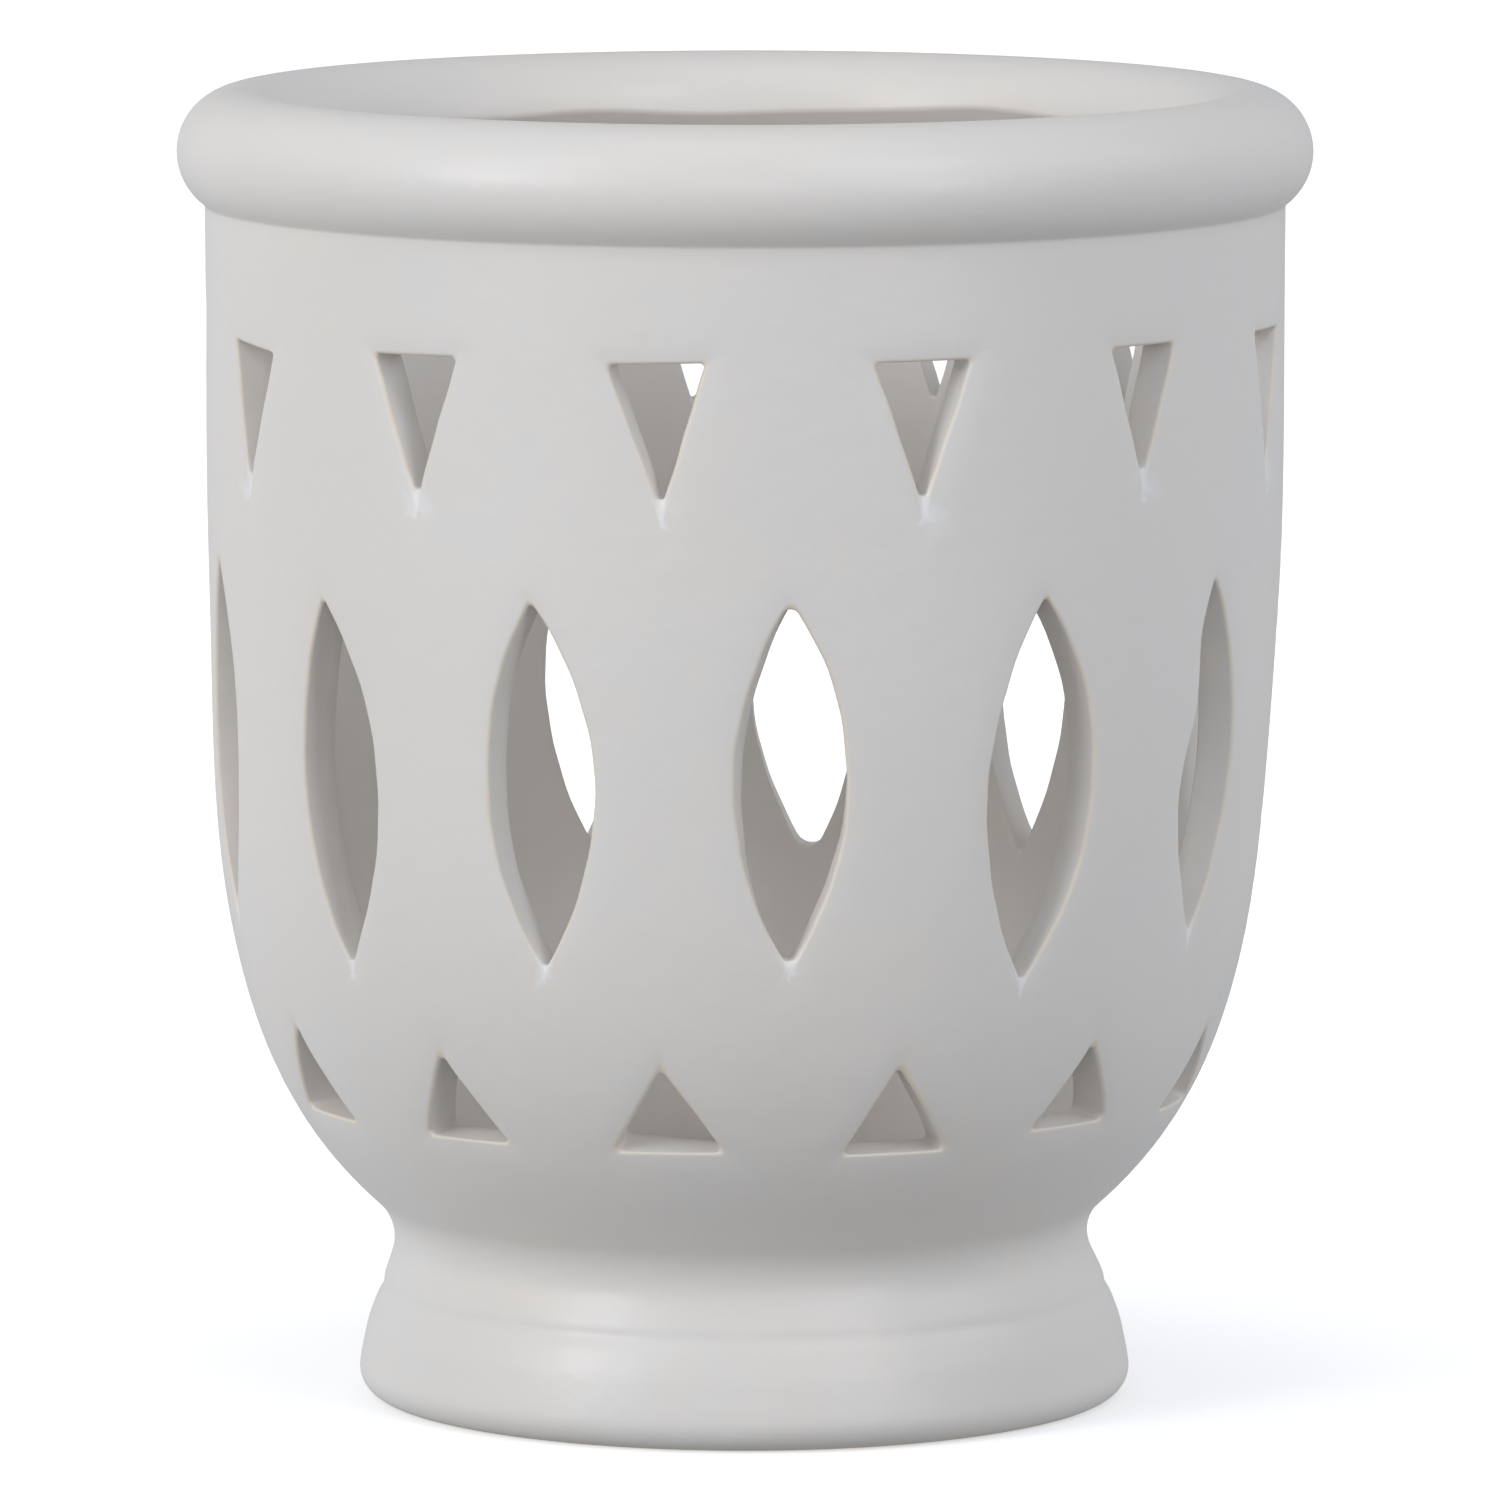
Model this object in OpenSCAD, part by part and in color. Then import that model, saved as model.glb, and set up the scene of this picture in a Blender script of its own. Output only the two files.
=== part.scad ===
// Pierced ceramic tealight holder on a flared foot, with the tealight that stands inside it.
// Millimetres, +Z up. The origin is the centre of the foot, on the surface that it stands on.
// The front of the object faces -Y. Angles round the vessel start at the front and grow towards +X.

/* [Vessel] */
// Radius of the almost straight upper wall
body_r = 47.6; // [47:0.1:48.4]
// Thickness of the cast wall
wall = 3.5; // [3:0.1:4]
// How far the bowl draws in below the upper wall, at the height where it leaves the waist
bowl_draw = 15.35; // [15:0.05:15.6]
// Height over which that draw fades to about a third
bowl_fade = 13.8; // [13.4:0.1:14.2]
// Height of the joint between the waist curve and the bowl
bowl_start_z = 17.5; // [17.2:0.1:17.8]
// Radius of the hollow curve at the waist
waist_curve_r = 4.4; // [4:0.1:4.6]

/* [Foot] */
// Largest radius of the flared foot
foot_r = 34.2; // [34:0.1:35]
// Radius of the foot's rounded lower edge
foot_edge_r = 2.4; // [2:0.1:2.8]
// Angle between the top of the foot's flank and the vertical
foot_flank_angle = 22; // [20:1:24]
// How strongly the flank bulges: 1 is a straight cone
foot_bulge = 1.4; // [1.2:0.1:1.5]
// Height of the floor inside the foot
floor_z = 3.8; // [3.6:0.1:4.2]
// Depth of the recess under the foot
recess_depth = 0.8; // [0.5:0.1:1]
// Radius of the recess under the foot
recess_r = 27.5; // [26:0.5:28.5]

/* [Rim] */
// Outer radius of the rolled rim
rim_r = 50; // [49.5:0.1:50.5]
// Radius of the roll itself
rim_roll_r = 5.55; // [5.3:0.05:5.8]
// Height of the middle of the roll
rim_z = 110.5; // [109:0.5:112]

/* [Windows] */
// Number of windows in each row
window_count = 13; // [11:1:13]
// Angle of the triangle that is nearest the front, in the upper and lower rows
triangle_turn = -9.2; // [-13:0.1:13]
// Angle of the leaf that is nearest the front, in the middle row
leaf_turn = 5.2; // [-13:0.1:13]
// Width of an upper triangle's flat top
upper_w = 9.6; // [8:0.1:10.5]
// Height of an upper triangle
upper_h = 13.9; // [12:0.1:15]
// Height of the flat top of the upper triangles
upper_top_z = 96; // [94:0.5:98]
// Width of a leaf at its middle
leaf_w = 10; // [8:0.1:11]
// Height of a leaf from point to point
leaf_h = 33.2; // [30:0.1:34]
// Height of the middle of the leaves
leaf_z = 58.7; // [58:0.1:60]
// Width of a lower triangle's sill
lower_w = 10.7; // [9:0.1:11]
// Height of a lower triangle
lower_h = 8.4; // [7:0.1:9]
// Height of the sills
sill_z = 27; // [26.5:0.1:28]
// Radius of the triangles' corners
corner_r = 0.6; // [0.4:0.1:1]

/* [Tealight] */
// Outer radius of the aluminium cup's side
cup_r = 19; // [18.5:0.1:19.5]
// Height of the cup
cup_h = 15; // [14:0.5:17]
// Thickness of the cup's metal
cup_t = 0.3; // [0.2:0.05:0.4]
// Radius of the rolled edge at the cup's lip
bead_r = 0.45; // [0.4:0.05:0.6]
// Radius of the cup's lower edge
cup_edge_r = 1.8; // [1.5:0.1:2.2]
// Gap between the wax and the cup all round
wax_gap = 0.3; // [0.2:0.05:0.4]
// Height of the wax above the cup's floor
wax_h = 12.8; // [11:0.1:13]
// Radius of the metal disc that holds the wick
disc_r = 6.25; // [5:0.25:7]
// Thickness of that disc
disc_t = 0.3; // [0.2:0.05:0.4]
// Outer radius of the disc's neck
neck_r = 1.4; // [1.3:0.05:1.6]
// Height of the neck above the disc
neck_h = 3.5; // [3:0.5:5]
// Radius of the wick
wick_r = 1; // [0.8:0.05:1.1]
// Length of wick that stands out of the wax
wick_free_h = 7; // [5:0.5:9]

/* [Hidden] */
$fn = 72;

window_pitch = 360 / window_count;
cut_inner_r = 30;
cut_outer_r = 60;
floor_corner_r = 3;
recess_slope = 1;
turning_steps = 6;
corner_steps = 3;

// The waist's hollow curve runs from the flank (a negative angle) to the bowl (a positive one).
waist_top_angle = atan(bowl_slope(bowl_start_z));
waist_centre_r = bowl_r(bowl_start_z) + waist_curve_r * cos(waist_top_angle);
waist_centre_z = bowl_start_z - waist_curve_r * sin(waist_top_angle);
flank_top_r = waist_centre_r - waist_curve_r * cos(foot_flank_angle);
flank_top_z = waist_centre_z - waist_curve_r * sin(foot_flank_angle);
foot_inner_r = flank_r(floor_z + floor_corner_r) - wall;

// Heights at which the bowl's curve is taken: close together low down, where it bends most.
bowl_levels = [for (i = [0:13]) bowl_start_z + (rim_z - rim_roll_r / 2 - bowl_start_z) * pow(i / 13, 1.9)];
flank_levels = [for (i = [0:5]) foot_edge_r + (flank_top_z - foot_edge_r) * i / 5];

// Outer radius of the bowl and upper wall at height z, and how fast it grows there.
function bowl_r(z) = body_r - bowl_draw * exp(-(z - bowl_start_z) / bowl_fade);
function bowl_slope(z) = bowl_draw / bowl_fade * exp(-(z - bowl_start_z) / bowl_fade);

// Outer radius of the foot's flank at height z.
function flank_share(z) = (z - foot_edge_r) / (flank_top_z - foot_edge_r);
function flank_r(z) = foot_r - (foot_r - flank_top_r) * pow(flank_share(z), foot_bulge);

// A point of the bowl, moved inwards by depth, square to the surface.
function bowl_point(z, depth) =
    let (lean = atan(bowl_slope(z)))
    [bowl_r(z) - depth * cos(lean), z + depth * sin(lean)];

// Points of the waist's curve at a distance from its centre, from the lower angle to the upper one.
function waist_points(radius) = [
    for (i = [0:turning_steps - 1])
        let (angle = -foot_flank_angle + (waist_top_angle + foot_flank_angle) * i / turning_steps)
        [waist_centre_r - radius * cos(angle), waist_centre_z + radius * sin(angle)]
];

// Points of an arc about centre, between two angles.
function arc_points(centre, radius, from, to, steps) = [
    for (i = [0:steps]) centre + radius * [cos(from + (to - from) * i / steps), sin(from + (to - from) * i / steps)]
];

// Outline of a triangle with its base from -w/2 to w/2 on the X axis, its point at height h, and round corners.
function triangle_outline(w, h, r) =
    let (base_angle = atan(2 * h / w), inset = r / tan(base_angle / 2), point_z = h - r / cos(base_angle))
    concat(
        arc_points([w / 2 - inset, r], r, -90, 90 - base_angle, corner_steps),
        arc_points([0, point_z], r, 90 - base_angle, 90 + base_angle, corner_steps),
        arc_points([inset - w / 2, r], r, 90 + base_angle, 270, corner_steps)
    );

// Half section of the solid vessel, before it is hollowed.
module outer_section() {
    polygon(concat(
        [[0, 0], [foot_r - foot_edge_r, 0], [foot_r - foot_edge_r, foot_edge_r]],
        [for (z = flank_levels) [flank_r(z), z]],
        waist_points(waist_curve_r),
        [for (z = bowl_levels) bowl_point(z, 0)],
        [[0, bowl_levels[len(bowl_levels) - 1]]]
    ));
    translate([foot_r - foot_edge_r, foot_edge_r]) circle(r = foot_edge_r);
}

// Half section of the hollow inside it, which keeps the wall's thickness down into the foot.
module inner_section() {
    polygon(concat(
        [[0, floor_z]],
        arc_points([foot_inner_r - floor_corner_r, floor_z + floor_corner_r], floor_corner_r, -90, 0, corner_steps),
        waist_points(waist_curve_r + wall),
        [for (z = bowl_levels) bowl_point(z, wall)],
        [[0, rim_z + rim_roll_r]]
    ));
}

// Half section of the recess under the foot, which leaves a flat ring to stand on.
module recess_section() {
    polygon([[0, -1], [recess_r + recess_slope, -1], [recess_r + recess_slope, 0], [recess_r, recess_depth], [0, recess_depth]]);
}

module vessel() {
    rotate_extrude() {
        difference() {
            outer_section();
            inner_section();
            recess_section();
        }
        translate([rim_r - rim_roll_r, rim_z]) circle(r = rim_roll_r);
    }
}

// One row of windows: the child outline is cut straight through the wall, once at each place.
module window_row(turn) {
    for (i = [0:window_count - 1])
        rotate([0, 0, turn + i * window_pitch])
            translate([0, -cut_inner_r, 0])
                rotate([90, 0, 0])
                    linear_extrude(cut_outer_r - cut_inner_r) children();
}

// A leaf is where two circles overlap, so that it is pointed at both ends.
module leaf_shape() {
    side_r = (pow(leaf_h, 2) + pow(leaf_w, 2)) / (4 * leaf_w);
    intersection() {
        translate([side_r - leaf_w / 2, leaf_z]) circle(r = side_r, $fn = 180);
        translate([leaf_w / 2 - side_r, leaf_z]) circle(r = side_r, $fn = 180);
    }
}

module ceramic_body() {
    color("gainsboro") difference() {
        vessel();
        window_row(triangle_turn)
            translate([0, upper_top_z]) mirror([0, 1]) polygon(triangle_outline(upper_w, upper_h, corner_r));
        window_row(leaf_turn) leaf_shape();
        window_row(triangle_turn)
            translate([0, sill_z]) polygon(triangle_outline(lower_w, lower_h, corner_r));
    }
}

// Half section of a round box with a rounded lower edge.
module cup_section(r, h, edge_r) {
    square([r - edge_r, h]);
    translate([0, edge_r]) square([r, h - edge_r]);
    translate([r - edge_r, edge_r]) circle(r = edge_r);
}

module tealight_cup() {
    color("silver") translate([0, 0, floor_z]) rotate_extrude() {
        difference() {
            cup_section(cup_r, cup_h - bead_r, cup_edge_r);
            translate([0, cup_t]) cup_section(cup_r - cup_t, cup_h, cup_edge_r - cup_t);
        }
        translate([cup_r - cup_t + bead_r, cup_h - bead_r]) circle(r = bead_r);
    }
}

module tealight_wax() {
    color("white") translate([0, 0, floor_z + cup_t]) rotate_extrude() difference() {
        cup_section(cup_r - cup_t - wax_gap, wax_h, cup_edge_r);
        square([disc_r, disc_t]);
        square([neck_r, disc_t + neck_h]);
        square([wick_r, wax_h + 1]);
    }
}

module wick_sustainer() {
    color("lightgray") translate([0, 0, floor_z + cup_t]) rotate_extrude() difference() {
        union() {
            square([disc_r, disc_t]);
            square([neck_r, disc_t + neck_h]);
        }
        translate([0, disc_t]) square([wick_r, neck_h + 1]);
    }
}

module wick() {
    color("ivory") translate([0, 0, floor_z + cup_t + disc_t])
        cylinder(r = wick_r, h = wax_h - disc_t + wick_free_h, $fn = 32);
}

ceramic_body();
tealight_cup();
tealight_wax();
wick_sustainer();
wick();
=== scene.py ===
"""Pierced ceramic tealight holder: the visual model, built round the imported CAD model.

Shapes are worked out in millimetres in the CAD model's own frame and turned into metres as the meshes are
made. The front of the holder faces -Y, and angles round it grow from the front towards +X, in degrees.
"""
import math

import bmesh
import bpy
import numpy as np
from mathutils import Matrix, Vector
from mathutils.geometry import delaunay_2d_cdt


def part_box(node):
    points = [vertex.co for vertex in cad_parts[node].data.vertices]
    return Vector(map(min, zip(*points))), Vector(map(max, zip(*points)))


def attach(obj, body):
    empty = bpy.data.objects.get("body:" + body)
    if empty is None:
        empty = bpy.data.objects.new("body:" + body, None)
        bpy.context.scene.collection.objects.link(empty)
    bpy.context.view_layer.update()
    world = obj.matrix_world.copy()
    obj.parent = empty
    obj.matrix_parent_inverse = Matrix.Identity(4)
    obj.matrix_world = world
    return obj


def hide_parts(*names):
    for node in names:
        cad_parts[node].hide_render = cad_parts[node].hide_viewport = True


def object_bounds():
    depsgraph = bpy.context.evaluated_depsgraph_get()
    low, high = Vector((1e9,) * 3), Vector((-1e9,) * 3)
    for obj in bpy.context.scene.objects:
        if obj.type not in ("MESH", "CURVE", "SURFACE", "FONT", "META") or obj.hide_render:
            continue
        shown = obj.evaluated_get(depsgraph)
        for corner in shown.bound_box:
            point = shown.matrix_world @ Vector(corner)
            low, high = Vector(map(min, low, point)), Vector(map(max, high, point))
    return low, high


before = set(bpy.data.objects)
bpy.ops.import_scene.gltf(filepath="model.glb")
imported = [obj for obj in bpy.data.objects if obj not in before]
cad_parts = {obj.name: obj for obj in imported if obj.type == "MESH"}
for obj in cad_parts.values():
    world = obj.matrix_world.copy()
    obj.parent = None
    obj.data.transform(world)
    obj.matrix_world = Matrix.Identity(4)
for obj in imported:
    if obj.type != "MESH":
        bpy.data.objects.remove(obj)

CAD_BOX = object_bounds()
MM = 0.001

# The vessel's main sizes, as the CAD model has them.
RIM_R = (CAD_BOX[1][0] - CAD_BOX[0][0]) / 2 / MM
HEIGHT = (CAD_BOX[1][2] - CAD_BOX[0][2]) / MM
FLOOR_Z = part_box("tealight_cup")[0][2] / MM
WALL = 3.5
BODY_R = 47.6
BOWL_START_Z = 17.5
BOWL_DRAW = 15.35
BOWL_FADE = 13.8
WAIST_CURVE_R = 4.4
FOOT_R = 34.2
FOOT_EDGE_R = 2.4
FLANK_ANGLE = math.radians(22)
FOOT_BULGE = 1.4
RECESS_R = 27.5
RECESS_DEPTH = 0.8
ROLL_R = 5.55
ROLL_CENTRE = (RIM_R - ROLL_R, HEIGHT - ROLL_R)

# The windows.
WINDOWS = 13
PITCH = 360 / WINDOWS
SECTORS = range(-5, WINDOWS - 5)
TRIANGLE_TURN = -9.2
LEAF_TURN = 5.2
BAND_LOW = 22.5
BAND_TOP = 101.0
SEAM_HIGH = 78.9
SEAM_LOW = 38.7

# How finely the vessel is meshed: columns between two windows, and the usual length of an edge.
COLUMNS = 20
STEP = 1.45
# The radius at which the band's wall is laid out flat, to be divided into triangles.
FLAT_R = 45

SEED = 20


def smooth(edge0, edge1, x):
    """0 below edge0, 1 above edge1, and a smooth ramp between."""
    t = np.clip((x - edge0) / (edge1 - edge0), 0, 1)
    return t * t * (3 - 2 * t)


def arc(centre, radius, start, end, count):
    """Points of an arc in a plane, both ends included, with its angles in radians."""
    angles = np.linspace(start, end, count)
    return np.stack([centre[0] + radius * np.cos(angles), centre[1] + radius * np.sin(angles)], axis=1)


# ---------------------------------------------------------------- the vessel's section


def bowl_r(z):
    return BODY_R - BOWL_DRAW * np.exp(-(z - BOWL_START_Z) / BOWL_FADE)


def bowl_lean(z):
    """Angle between the bowl's outside and the vertical at height z."""
    return np.arctan(BOWL_DRAW / BOWL_FADE * np.exp(-(z - BOWL_START_Z) / BOWL_FADE))


def bowl_points(levels, depth):
    """The bowl's outline at these levels, moved inwards by depth, square to the surface."""
    lean = bowl_lean(levels)
    return np.stack([bowl_r(levels) - depth * np.cos(lean), levels + depth * np.sin(lean)], axis=1)


INNER_CURVE = bowl_points(np.linspace(BOWL_START_Z, HEIGHT, 400), WALL)


def inner_r(z):
    """Radius of the hollow at height z, above the waist."""
    return np.interp(z, INNER_CURVE[:, 1], INNER_CURVE[:, 0])


WAIST_TOP_ANGLE = float(bowl_lean(BOWL_START_Z))
WAIST_CENTRE = (
    float(bowl_r(BOWL_START_Z)) + WAIST_CURVE_R * math.cos(WAIST_TOP_ANGLE),
    BOWL_START_Z - WAIST_CURVE_R * math.sin(WAIST_TOP_ANGLE),
)
FLANK_TOP = (
    WAIST_CENTRE[0] - WAIST_CURVE_R * math.cos(FLANK_ANGLE),
    WAIST_CENTRE[1] - WAIST_CURVE_R * math.sin(FLANK_ANGLE),
)


def waist_points(radius, count):
    """The waist's hollow curve, from the bowl down to the flank."""
    return arc(WAIST_CENTRE, radius, math.pi - WAIST_TOP_ANGLE, math.pi + FLANK_ANGLE, count)


def flank_points(count):
    """The foot's flank from top to bottom, with the faint hollow line that runs round it half way down."""
    z = np.linspace(FLANK_TOP[1], FOOT_EDGE_R, count)
    share = (z - FOOT_EDGE_R) / (FLANK_TOP[1] - FOOT_EDGE_R)
    r = FOOT_R - (FOOT_R - FLANK_TOP[0]) * share ** FOOT_BULGE
    line = 0.2 * np.exp(-((z - 9.6) / 0.6) ** 2)
    swell = 0.1 * np.exp(-((z - 6.6) / 1.5) ** 2)
    return np.stack([r - line + swell, z], axis=1)


def without_repeats(points):
    """Drops each point that lies on the one before it."""
    kept = [points[0]]
    for point in points[1:]:
        if np.hypot(*(point - kept[-1])) > 1e-4:
            kept.append(point)
    return np.array(kept)


def lower_outer_section():
    """From the band of windows down the outside and in under the foot to the axis."""
    bowl = bowl_points(np.linspace(BAND_LOW, BOWL_START_Z, 7), 0)
    edge = arc((FOOT_R - FOOT_EDGE_R, FOOT_EDGE_R), FOOT_EDGE_R, 0, -math.pi / 2, 10)
    ring = np.array([[30.6, 0.0], [29.4, 0.0]])
    inner_edge = arc((29.4, 0.5), 0.5, -math.pi / 2, -math.pi * 0.8, 5)
    recess = np.array([
        [RECESS_R, RECESS_DEPTH],
        [22, RECESS_DEPTH + 0.1],
        [12, RECESS_DEPTH + 0.2],
        [5, RECESS_DEPTH + 0.25],
        [0, RECESS_DEPTH + 0.25],
    ])
    waist = waist_points(WAIST_CURVE_R, 14)
    return without_repeats(np.concatenate([bowl, waist, flank_points(30), edge, ring, inner_edge, recess]))


def lower_inner_section():
    """From the band of windows down the inside to the middle of the floor."""
    levels = np.linspace(BAND_LOW, INNER_CURVE[0, 1], 5)
    bowl = np.stack([inner_r(levels), levels], axis=1)
    corner_r = 3.0
    flank = flank_points(20)[::-1]
    well_r = float(np.interp(FLOOR_Z + corner_r, flank[:, 1], flank[:, 0])) - WALL
    corner = arc((well_r - corner_r, FLOOR_Z + corner_r), corner_r, 0, -math.pi / 2, 8)
    floor = np.array([[r, FLOOR_Z] for r in (21, 15, 9, 4, 0)])
    return without_repeats(np.concatenate([bowl, waist_points(WAIST_CURVE_R + WALL, 10), corner, floor]))


def rim_section():
    """From the band of windows up the outside, over the roll, and down the inside to the band again.

    The second result says how much each point follows the wavy line of the trimmed inner lip."""
    wall_r = float(bowl_r(ROLL_CENTRE[1] - ROLL_R))
    crease_r = 0.45
    reach = ROLL_R + crease_r
    drop = math.sqrt(reach ** 2 - (wall_r + crease_r - ROLL_CENTRE[0]) ** 2)
    crease_centre = (wall_r + crease_r, ROLL_CENTRE[1] - drop)
    meet = math.atan2(-drop, crease_centre[0] - ROLL_CENTRE[0])
    wall = bowl_points(np.linspace(BAND_TOP, crease_centre[1], 5)[:-1], 0)
    crease = arc(crease_centre, crease_r, math.pi, meet + math.pi, 5)
    roll = arc(ROLL_CENTRE, ROLL_R, meet, math.radians(170), 34)
    lip_r = 0.75
    lip_turn = math.radians(170)
    lip_centre = (
        ROLL_CENTRE[0] + (ROLL_R - lip_r) * math.cos(lip_turn),
        ROLL_CENTRE[1] + (ROLL_R - lip_r) * math.sin(lip_turn),
    )
    under_turn = math.radians(222)
    lip = arc(lip_centre, lip_r, lip_turn, under_turn, 6)
    inner = float(inner_r(BAND_TOP))
    foot_r = 1.6
    # The flat underside runs from the lip to a small hollow curve that joins the inner wall.
    direction = np.array([-math.sin(under_turn), math.cos(under_turn)])
    start = lip[-1]
    offset = foot_r * math.tan((under_turn - math.pi) / 2)
    length = (inner - start[0]) / direction[0]
    end = start + direction * length
    under = np.array([start + direction * (length - offset) * t for t in (0.33, 0.66)])
    curve = arc((inner - foot_r, end[1] - offset), foot_r, under_turn - math.pi, 0, 6)
    levels = np.linspace(end[1] - offset, BAND_TOP, 4)[1:]
    inside = np.stack([inner_r(levels), levels], axis=1)
    parts = [wall, crease, roll, lip, under, curve, inside]
    weights = [
        np.zeros(len(wall)),
        np.zeros(len(crease)),
        smooth(0.72, 1, np.linspace(0, 1, len(roll))),
        np.ones(len(lip)),
        np.array([0.75, 0.4]),
        np.full(len(curve), 0.15),
        np.zeros(len(inside)),
    ]
    return np.concatenate(parts), np.concatenate(weights)


# ---------------------------------------------------------------- the windows' outlines


def leaf_outline(width, height, tip_r, grow):
    """A pointed leaf: two wide arcs that meet in two small ones. grow moves the outline outwards."""
    side_r = (height ** 2 + width ** 2) / (4 * width)
    centre_x = side_r - width / 2
    side_r += grow
    tip_z = math.sqrt((side_r - tip_r) ** 2 - centre_x ** 2)
    half = math.atan2(tip_z, centre_x)
    return np.concatenate([
        arc((-centre_x, 0), side_r, -half, half, 30),
        arc((0, tip_z), tip_r, half, math.pi - half, 8)[1:-1],
        arc((centre_x, 0), side_r, math.pi - half, math.pi + half, 30),
        arc((0, -tip_z), tip_r, math.pi + half, 2 * math.pi - half, 8)[1:-1],
    ])


def triangle_outline(width, height, corner_r, grow):
    """A triangle with its base below and small round corners, centred on the circle that fits inside it."""
    base_angle = math.atan(2 * height / width)
    inside_r = width / 2 * math.tan(base_angle / 2)
    scale = (inside_r + grow) / inside_r
    w, h = width * scale, height * scale
    base_z = -inside_r - grow
    inset = corner_r / math.tan(base_angle / 2)
    point_z = base_z + h - corner_r / math.cos(base_angle)
    turn = math.pi / 2 - base_angle
    corners = [
        ((w / 2 - inset, base_z + corner_r), -math.pi / 2, turn),
        ((0, point_z), turn, math.pi - turn),
        ((inset - w / 2, base_z + corner_r), math.pi - turn, 1.5 * math.pi),
    ]
    arcs = [arc(centre, corner_r, start, end, 7) for centre, start, end in corners]
    parts = []
    for i in range(3):
        parts.append(arcs[i])
        a, b = arcs[i][-1], arcs[(i + 1) % 3][0]
        parts.append(np.array([a + (b - a) * t for t in np.linspace(0, 1, 13)[1:-1]]))
    return np.concatenate(parts)


def near_tip(points, direction):
    """How near each point is to the outline's upper tip, for direction 1, or its lower one, for -1."""
    heights = direction * points[:, 1]
    return np.exp(-np.abs(points[:, 0]) / 0.8) * smooth(-2.5, 0, heights - heights.max())


class Window:
    """One window: its place, and how the knife made it a little different from the others."""

    def __init__(self, row, index, rng):
        self.shape = ROWS[row]
        self.cut = dict(
            turn=rng.uniform(-0.4, 0.4),
            wide=rng.uniform(0.95, 1.05),
            tall=rng.uniform(0.97, 1.03),
            rise=rng.uniform(-0.3, 0.3),
            lean=rng.uniform(-1.5, 1.5),
            skew=0.0,
            belly=0.0,
            dent=0.0,
            dent_at=0.0,
            tip=0.4,
            climb=0.5,
            roll=0.0,
        )
        self.cut.update(CUTS.get((row, index), {}))
        self.phase = rng.uniform(0, 2 * math.pi)
        self.turn = self.shape["turn"] + index * PITCH + self.cut["turn"]

    def flat_outline(self, grow, tips):
        """The outline in a plane about the window's middle, and how near each point is to its lower tip."""
        shape, cut = self.shape, self.cut
        width, height = shape["width"] * cut["wide"], shape["height"] * cut["tall"]
        if shape["kind"] == "leaf":
            points = leaf_outline(width, height, cut["tip"], grow)
        else:
            points = triangle_outline(width, height, 0.42, grow)
            points[:, 0] += cut["skew"] * (points[:, 1] - points[:, 1].min()) / np.ptp(points[:, 1])
            if shape["kind"] == "down":
                points[:, 1] *= -1
        upper, lower = near_tip(points, 1), near_tip(points, -1)
        points[:, 1] += tips * (shape["over"] * upper - shape["under"] * lower)
        marked = np.maximum(upper * (shape["over"] > 0), lower * (shape["under"] > 0))
        points[:, 0] *= 1 - 0.35 * tips * marked
        dent = np.exp(-((points[:, 1] - cut["dent_at"]) / 5.0) ** 2) * smooth(0, 2, -points[:, 0])
        points[:, 0] += cut["dent"] * dent + cut["belly"] * (1 - (2 * points[:, 1] / height) ** 2)
        wobble = 0.05 * np.sin(0.45 * points[:, 1] + self.phase)
        points[:, 0] += wobble + 0.03 * np.sin(1.3 * points[:, 1] + 2 * self.phase)
        return points, lower * (shape["under"] > 0)

    def outline(self, grow, tips, through=0.0):
        """(angle in degrees, height) of each point of the outline, moved outwards by grow.

        tips is how strong the knife marks at its tips are. through is 0 at the outside of the wall and 1 at
        the inside, where the cut has drifted: a sill climbs by climb, and a leaf moves sideways by roll."""
        points, _ = self.flat_outline(grow, tips)
        lean = math.radians(self.cut["lean"])
        x = points[:, 0] * math.cos(lean) - points[:, 1] * math.sin(lean)
        z = points[:, 0] * math.sin(lean) + points[:, 1] * math.cos(lean)
        if self.shape["kind"] == "up":
            z = z + through * (self.cut["climb"] + self.cut["roll"] * x / 4)
        elif self.shape["kind"] == "leaf":
            x = x + through * self.cut["roll"] * smooth(-16, 4, z)
        angle = self.turn + np.degrees(x / self.shape["radius"])
        return np.stack([angle, self.shape["middle"] + self.cut["rise"] + z], axis=1)

    def pool(self, strength):
        """How strongly a highlight is painted at the lower tip."""
        return strength * self.flat_outline(0, 1)[1]


# How far the windows' edges are softened on the wall's two faces, and how the surface sinks towards a window:
# its depth at the edge, then rings as (distance, share of that depth).
SOFT_OUT = 0.36
SOFT_IN = 0.16
SINK = 0.13
SINK_RINGS = ((0.45, 0.55), (1.0, 0.18), (1.7, 0.0))
# Each row's window at its narrowest, inside the wall.
ROWS = {
    "upper": dict(
        kind="down", turn=TRIANGLE_TURN, width=8.4, height=12.3, middle=92.95, radius=47.5, over=0, under=1.5
    ),
    "leaf": dict(
        kind="leaf", turn=LEAF_TURN, width=9.5, height=31.8, middle=59.4, radius=46.7, over=0.2, under=0.9
    ),
    "lower": dict(
        kind="up", turn=TRIANGLE_TURN, width=8.9, height=6.9, middle=30.0, radius=41.2, over=0.9, under=0
    ),
}
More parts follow.
